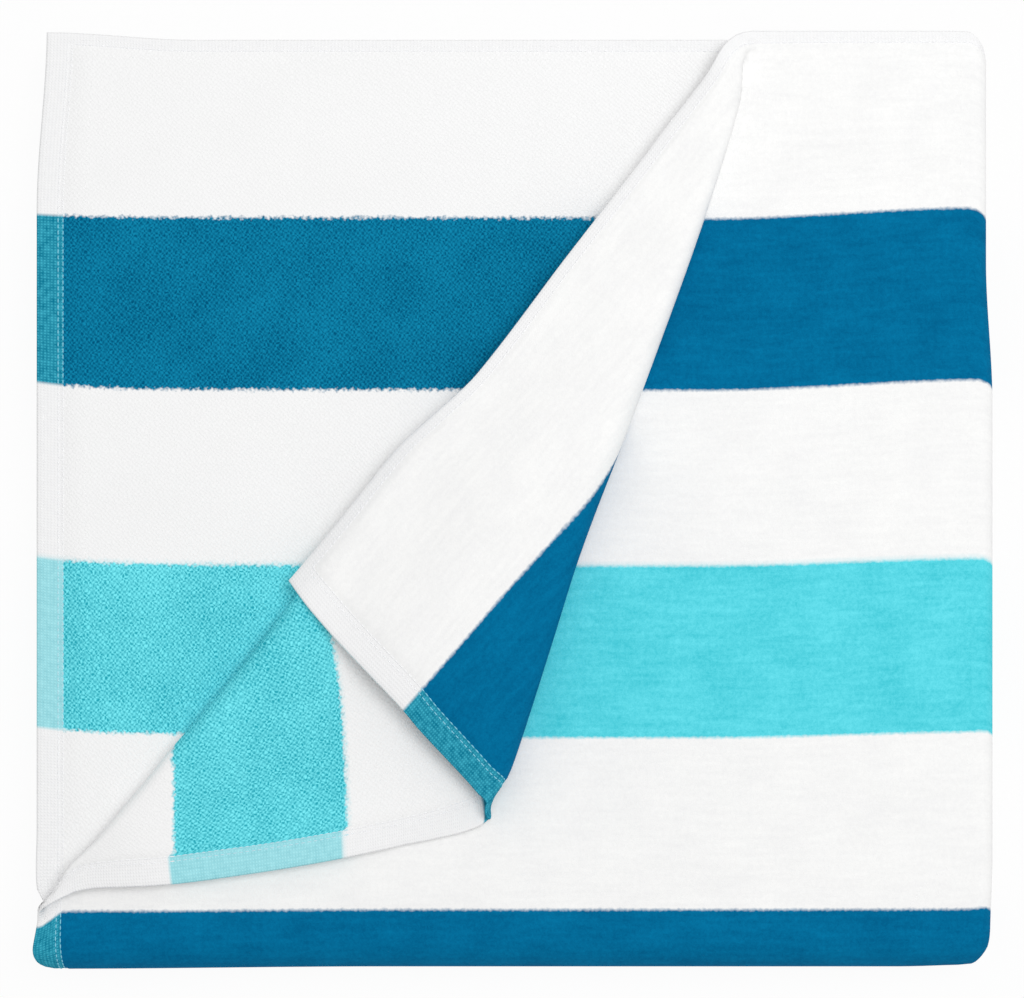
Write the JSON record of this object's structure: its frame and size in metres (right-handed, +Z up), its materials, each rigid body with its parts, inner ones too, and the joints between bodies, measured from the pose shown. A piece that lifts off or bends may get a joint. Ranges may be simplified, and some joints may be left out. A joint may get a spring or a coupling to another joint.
{
  "type": "bath sheet",
  "caption": "Folded cotton bath sheet with cabana stripes, velour outside and terry inside, one corner turned back.",
  "frame": {"origin": "middle of the folded stack's footprint, on the surface it lies on", "axes": "+X to the right along the stripes, +Y to the back where the selvages are, +Z up through the layers"},
  "size_m": [0.449, 0.44, 0.061],
  "materials": {
    "cotton": "matte"
  },
  "bodies": {
    "root": {"towel": "cotton"}
  },
  "joints": []
}
